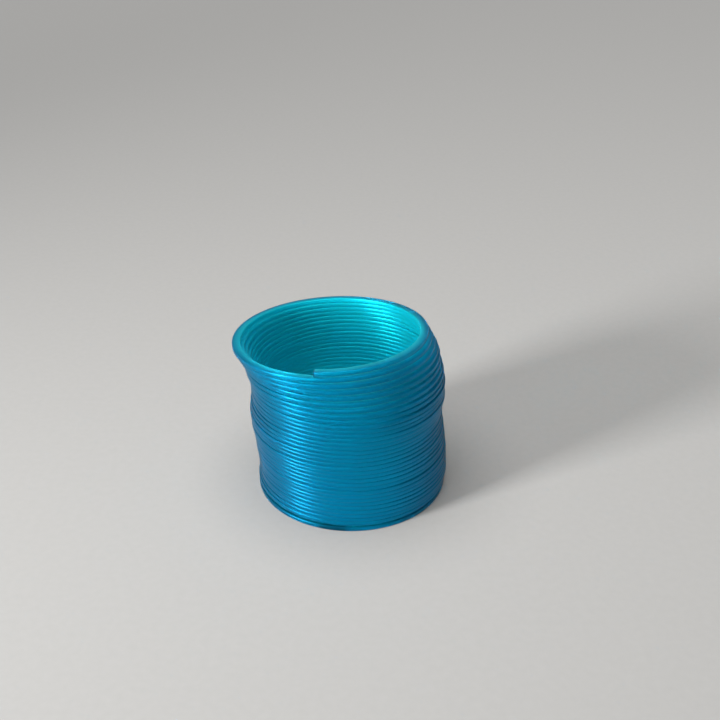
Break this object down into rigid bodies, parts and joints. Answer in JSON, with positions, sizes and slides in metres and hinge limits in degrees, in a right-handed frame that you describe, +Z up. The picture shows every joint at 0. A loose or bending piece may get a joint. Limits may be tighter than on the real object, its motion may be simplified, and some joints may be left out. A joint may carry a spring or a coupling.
{
  "type": "spring coil toy",
  "caption": "Closed cylindrical coil of flat blue plastic strip that stretches upwards turn by turn and whose upper turns bend over to one side.",
  "frame": {"origin": "centre of the bounding box's footprint, on the surface the coil stands on", "axes": "+Z up along the coil; +X to the side where the upper turns fan open, -X the side they bend over to; -Y the front, where the strip's upper end lies"},
  "size_m": [0.083, 0.075, 0.069],
  "materials": {
    "blue_plastic": "glossy, slightly see-through moulded plastic strip with rounded edges"
  },
  "bodies": {
    "turn_01_base": {"turn_01_base": "blue_plastic"},
    "turn_02": {"turn_02": "blue_plastic"},
    "turn_03": {"turn_03": "blue_plastic"},
    "turn_04": {"turn_04": "blue_plastic"},
    "turn_05": {"turn_05": "blue_plastic"},
    "turn_06": {"turn_06": "blue_plastic"},
    "turn_07": {"turn_07": "blue_plastic"},
    "turn_08": {"turn_08": "blue_plastic"},
    "turn_09": {"turn_09": "blue_plastic"},
    "turn_10": {"turn_10": "blue_plastic"},
    "turn_11": {"turn_11": "blue_plastic"},
    "turn_12": {"turn_12": "blue_plastic"},
    "turn_13": {"turn_13": "blue_plastic"},
    "turn_14": {"turn_14": "blue_plastic"},
    "turn_15": {"turn_15": "blue_plastic"},
    "turn_16": {"turn_16": "blue_plastic"},
    "turn_17": {"turn_17": "blue_plastic"},
    "turn_18": {"turn_18": "blue_plastic"},
    "turn_19": {"turn_19": "blue_plastic"},
    "turn_20": {"turn_20": "blue_plastic"},
    "turn_21": {"turn_21": "blue_plastic"},
    "turn_22": {"turn_22": "blue_plastic"},
    "turn_23": {"turn_23": "blue_plastic"},
    "turn_24": {"turn_24": "blue_plastic"},
    "turn_25_back": {"turn_25_back": "blue_plastic"},
    "turn_25_front": {"turn_25_front": "blue_plastic"},
    "turn_26_back": {"turn_26_back": "blue_plastic"},
    "turn_26_front": {"turn_26_front": "blue_plastic"},
    "turn_27_back": {"turn_27_back": "blue_plastic"},
    "turn_27_front": {"turn_27_front": "blue_plastic"},
    "turn_28_back": {"turn_28_back": "blue_plastic"},
    "turn_28_front": {"turn_28_front": "blue_plastic"},
    "turn_29_back": {"turn_29_back": "blue_plastic"},
    "turn_29_front": {"turn_29_front": "blue_plastic"},
    "turn_30_back": {"turn_30_back": "blue_plastic"},
    "turn_30_front": {"turn_30_front": "blue_plastic"},
    "turn_31_back": {"turn_31_back": "blue_plastic"},
    "turn_31_front": {"turn_31_front": "blue_plastic"},
    "turn_32_back": {"turn_32_back": "blue_plastic"},
    "turn_32_front": {"turn_32_front": "blue_plastic"},
    "turn_33_back": {"turn_33_back": "blue_plastic"},
    "turn_33_front": {"turn_33_front": "blue_plastic"},
    "turn_34_back": {"turn_34_back": "blue_plastic"},
    "turn_34_front": {"turn_34_front": "blue_plastic"},
    "turn_35_end": {"turn_35_end": "blue_plastic"}
  },
  "joints": [
    {"name": "rise_02", "type": "slide", "parent": "turn_01_base", "child": "turn_02", "axis": [0, 0, 1], "range_m": [0, 0.0035], "stiffness_N_per_m": 7},
    {"name": "rise_03", "type": "slide", "parent": "turn_01_base", "child": "turn_03", "axis": [0, 0, 1], "range_m": [0, 0.007], "stiffness_N_per_m": 1.75},
    {"name": "rise_04", "type": "slide", "parent": "turn_01_base", "child": "turn_04", "axis": [0, 0, 1], "range_m": [0, 0.0105], "stiffness_N_per_m": 0.778},
    {"name": "rise_05", "type": "slide", "parent": "turn_01_base", "child": "turn_05", "axis": [0, 0, 1], "range_m": [0, 0.014], "stiffness_N_per_m": 0.438},
    {"name": "rise_06", "type": "slide", "parent": "turn_01_base", "child": "turn_06", "axis": [0, 0, 1], "range_m": [0, 0.0175], "stiffness_N_per_m": 0.28},
    {"name": "rise_07", "type": "slide", "parent": "turn_01_base", "child": "turn_07", "axis": [0, 0, 1], "range_m": [0, 0.021], "stiffness_N_per_m": 0.194},
    {"name": "rise_08", "type": "slide", "parent": "turn_01_base", "child": "turn_08", "axis": [0, 0, 1], "range_m": [0, 0.0245], "stiffness_N_per_m": 0.143},
    {"name": "rise_09", "type": "slide", "parent": "turn_01_base", "child": "turn_09", "axis": [0, 0, 1], "range_m": [0, 0.028], "stiffness_N_per_m": 0.109},
    {"name": "rise_10", "type": "slide", "parent": "turn_01_base", "child": "turn_10", "axis": [0, 0, 1], "range_m": [0, 0.0315], "stiffness_N_per_m": 0.0864},
    {"name": "rise_11", "type": "slide", "parent": "turn_01_base", "child": "turn_11", "axis": [0, 0, 1], "range_m": [0, 0.035], "stiffness_N_per_m": 0.07},
    {"name": "rise_12", "type": "slide", "parent": "turn_01_base", "child": "turn_12", "axis": [0, 0, 1], "range_m": [0, 0.0385], "stiffness_N_per_m": 0.0579},
    {"name": "rise_13", "type": "slide", "parent": "turn_01_base", "child": "turn_13", "axis": [0, 0, 1], "range_m": [0, 0.042], "stiffness_N_per_m": 0.0486},
    {"name": "rise_14", "type": "slide", "parent": "turn_01_base", "child": "turn_14", "axis": [0, 0, 1], "range_m": [0, 0.0455], "stiffness_N_per_m": 0.0414},
    {"name": "rise_15", "type": "slide", "parent": "turn_01_base", "child": "turn_15", "axis": [0, 0, 1], "range_m": [0, 0.049], "stiffness_N_per_m": 0.0357},
    {"name": "rise_16", "type": "slide", "parent": "turn_01_base", "child": "turn_16", "axis": [0, 0, 1], "range_m": [0, 0.0525], "stiffness_N_per_m": 0.0311},
    {"name": "rise_17", "type": "slide", "parent": "turn_01_base", "child": "turn_17", "axis": [0, 0, 1], "range_m": [0, 0.056], "stiffness_N_per_m": 0.0273},
    {"name": "rise_18", "type": "slide", "parent": "turn_01_base", "child": "turn_18", "axis": [0, 0, 1], "range_m": [0, 0.0595], "stiffness_N_per_m": 0.0242},
    {"name": "rise_19", "type": "slide", "parent": "turn_01_base", "child": "turn_19", "axis": [0, 0, 1], "range_m": [0, 0.063], "stiffness_N_per_m": 0.0216},
    {"name": "rise_20", "type": "slide", "parent": "turn_01_base", "child": "turn_20", "axis": [0, 0, 1], "range_m": [0, 0.0665], "stiffness_N_per_m": 0.0194},
    {"name": "rise_21", "type": "slide", "parent": "turn_01_base", "child": "turn_21", "axis": [0, 0, 1], "range_m": [0, 0.07], "stiffness_N_per_m": 0.0175},
    {"name": "rise_22", "type": "slide", "parent": "turn_01_base", "child": "turn_22", "axis": [0, 0, 1], "range_m": [0, 0.0735], "stiffness_N_per_m": 0.0159},
    {"name": "rise_23", "type": "slide", "parent": "turn_01_base", "child": "turn_23", "axis": [0, 0, 1], "range_m": [0, 0.077], "stiffness_N_per_m": 0.0145},
    {"name": "rise_24", "type": "slide", "parent": "turn_01_base", "child": "turn_24", "axis": [0, 0, 1], "range_m": [0, 0.0805], "stiffness_N_per_m": 0.0132},
    {"name": "rise_25", "type": "slide", "parent": "turn_01_base", "child": "turn_25_front", "axis": [0, 0, 1], "range_m": [0, 0.084], "stiffness_N_per_m": 0.0122},
    {"name": "bend_25", "type": "hinge", "parent": "turn_25_front", "child": "turn_25_back", "pos_m": [-0.03522, 0, 0.04382], "axis": [0, -1, 0.0004], "range_deg": [0, 18], "stiffness_Nm_per_rad": 0.004},
    {"name": "open_26", "type": "slide", "parent": "turn_25_back", "child": "turn_26_front", "axis": [-0.0008, 0.0014, 1], "range_m": [0, 0.0035], "stiffness_N_per_m": 7},
    {"name": "bend_26", "type": "hinge", "parent": "turn_26_front", "child": "turn_26_back", "pos_m": [-0.03542, 0, 0.04564], "axis": [0, -1, 0.003], "range_deg": [0, 18], "stiffness_Nm_per_rad": 0.004},
    {"name": "open_27", "type": "slide", "parent": "turn_26_back", "child": "turn_27_front", "axis": [-0.0031, 0.0052, 1], "range_m": [0, 0.0035], "stiffness_N_per_m": 7},
    {"name": "bend_27", "type": "hinge", "parent": "turn_27_front", "child": "turn_27_back", "pos_m": [-0.03583, -0.00001, 0.04752], "axis": [0, -1, 0.008], "range_deg": [0, 18], "stiffness_Nm_per_rad": 0.004},
    {"name": "open_28", "type": "slide", "parent": "turn_27_back", "child": "turn_28_front", "axis": [-0.0066, 0.0112, 0.9999], "range_m": [0, 0.0035], "stiffness_N_per_m": 7},
    {"name": "bend_28", "type": "hinge", "parent": "turn_28_front", "child": "turn_28_back", "pos_m": [-0.03627, -0.00001, 0.04943], "axis": [-0.0001, -0.9999, 0.0148], "range_deg": [0, 18], "stiffness_Nm_per_rad": 0.004},
    {"name": "open_29", "type": "slide", "parent": "turn_28_back", "child": "turn_29_front", "axis": [-0.0111, 0.0187, 0.9998], "range_m": [0, 0.0035], "stiffness_N_per_m": 7},
    {"name": "bend_29", "type": "hinge", "parent": "turn_29_front", "child": "turn_29_back", "pos_m": [-0.03678, -0.00002, 0.05138], "axis": [-0.0002, -0.9997, 0.023], "range_deg": [0, 18], "stiffness_Nm_per_rad": 0.004},
    {"name": "open_30", "type": "slide", "parent": "turn_29_back", "child": "turn_30_front", "axis": [-0.0163, 0.0275, 0.9995], "range_m": [0, 0.0035], "stiffness_N_per_m": 7},
    {"name": "bend_30", "type": "hinge", "parent": "turn_30_front", "child": "turn_30_back", "pos_m": [-0.03736, -0.00004, 0.05335], "axis": [-0.0003, -0.9995, 0.0322], "range_deg": [0, 18], "stiffness_Nm_per_rad": 0.004},
    {"name": "open_31", "type": "slide", "parent": "turn_30_back", "child": "turn_31_front", "axis": [-0.0219, 0.037, 0.9991], "range_m": [0, 0.0035], "stiffness_N_per_m": 7},
    {"name": "bend_31", "type": "hinge", "parent": "turn_31_front", "child": "turn_31_back", "pos_m": [-0.03799, -0.00005, 0.05533], "axis": [-0.0005, -0.9991, 0.0419], "range_deg": [0, 18], "stiffness_Nm_per_rad": 0.004},
    {"name": "open_32", "type": "slide", "parent": "turn_31_back", "child": "turn_32_front", "axis": [-0.0278, 0.0469, 0.9985], "range_m": [0, 0.0035], "stiffness_N_per_m": 7},
    {"name": "bend_32", "type": "hinge", "parent": "turn_32_front", "child": "turn_32_back", "pos_m": [-0.03893, -0.00007, 0.05731], "axis": [-0.0008, -0.9987, 0.0518], "range_deg": [0, 18], "stiffness_Nm_per_rad": 0.004},
    {"name": "open_33", "type": "slide", "parent": "turn_32_back", "child": "turn_33_front", "axis": [-0.0336, 0.0567, 0.9978], "range_m": [0, 0.0035], "stiffness_N_per_m": 7},
    {"name": "bend_33", "type": "hinge", "parent": "turn_33_front", "child": "turn_33_back", "pos_m": [-0.04018, -0.00009, 0.05929], "axis": [-0.0011, -0.9981, 0.0614], "range_deg": [0, 18], "stiffness_Nm_per_rad": 0.004},
    {"name": "open_34", "type": "slide", "parent": "turn_33_back", "child": "turn_34_front", "axis": [-0.0391, 0.066, 0.9971], "range_m": [0, 0.0035], "stiffness_N_per_m": 7},
    {"name": "bend_34", "type": "hinge", "parent": "turn_34_front", "child": "turn_34_back", "pos_m": [-0.04147, -0.00011, 0.06125], "axis": [-0.0015, -0.9975, 0.0704], "range_deg": [0, 18], "stiffness_Nm_per_rad": 0.004},
    {"name": "open_35", "type": "slide", "parent": "turn_34_back", "child": "turn_35_end", "axis": [-0.0441, 0.0744, 0.9963], "range_m": [0, 0.0035], "stiffness_N_per_m": 7}
  ],
  "couplings": [
    {"joint": "rise_02", "follows": "rise_25", "ratio": 0.041667},
    {"joint": "rise_03", "follows": "rise_25", "ratio": 0.083333},
    {"joint": "rise_04", "follows": "rise_25", "ratio": 0.125},
    {"joint": "rise_05", "follows": "rise_25", "ratio": 0.16667},
    {"joint": "rise_06", "follows": "rise_25", "ratio": 0.20833},
    {"joint": "rise_07", "follows": "rise_25", "ratio": 0.25},
    {"joint": "rise_08", "follows": "rise_25", "ratio": 0.29167},
    {"joint": "rise_09", "follows": "rise_25", "ratio": 0.33333},
    {"joint": "rise_10", "follows": "rise_25", "ratio": 0.375},
    {"joint": "rise_11", "follows": "rise_25", "ratio": 0.41667},
    {"joint": "rise_12", "follows": "rise_25", "ratio": 0.45833},
    {"joint": "rise_13", "follows": "rise_25", "ratio": 0.5},
    {"joint": "rise_14", "follows": "rise_25", "ratio": 0.54167},
    {"joint": "rise_15", "follows": "rise_25", "ratio": 0.58333},
    {"joint": "rise_16", "follows": "rise_25", "ratio": 0.625},
    {"joint": "rise_17", "follows": "rise_25", "ratio": 0.66667},
    {"joint": "rise_18", "follows": "rise_25", "ratio": 0.70833},
    {"joint": "rise_19", "follows": "rise_25", "ratio": 0.75},
    {"joint": "rise_20", "follows": "rise_25", "ratio": 0.79167},
    {"joint": "rise_21", "follows": "rise_25", "ratio": 0.83333},
    {"joint": "rise_22", "follows": "rise_25", "ratio": 0.875},
    {"joint": "rise_23", "follows": "rise_25", "ratio": 0.91667},
    {"joint": "rise_24", "follows": "rise_25", "ratio": 0.95833},
    {"joint": "open_26", "follows": "rise_25", "ratio": 0.041667},
    {"joint": "bend_26", "follows": "bend_25", "ratio": 1},
    {"joint": "open_27", "follows": "rise_25", "ratio": 0.041667},
    {"joint": "bend_27", "follows": "bend_25", "ratio": 1},
    {"joint": "open_28", "follows": "rise_25", "ratio": 0.041667},
    {"joint": "bend_28", "follows": "bend_25", "ratio": 1},
    {"joint": "open_29", "follows": "rise_25", "ratio": 0.041667},
    {"joint": "bend_29", "follows": "bend_25", "ratio": 1},
    {"joint": "open_30", "follows": "rise_25", "ratio": 0.041667},
    {"joint": "bend_30", "follows": "bend_25", "ratio": 1},
    {"joint": "open_31", "follows": "rise_25", "ratio": 0.041667},
    {"joint": "bend_31", "follows": "bend_25", "ratio": 1},
    {"joint": "open_32", "follows": "rise_25", "ratio": 0.041667},
    {"joint": "bend_32", "follows": "bend_25", "ratio": 1},
    {"joint": "open_33", "follows": "rise_25", "ratio": 0.041667},
    {"joint": "bend_33", "follows": "bend_25", "ratio": 1},
    {"joint": "open_34", "follows": "rise_25", "ratio": 0.041667},
    {"joint": "bend_34", "follows": "bend_25", "ratio": 1},
    {"joint": "open_35", "follows": "rise_25", "ratio": 0.041667}
  ]
}
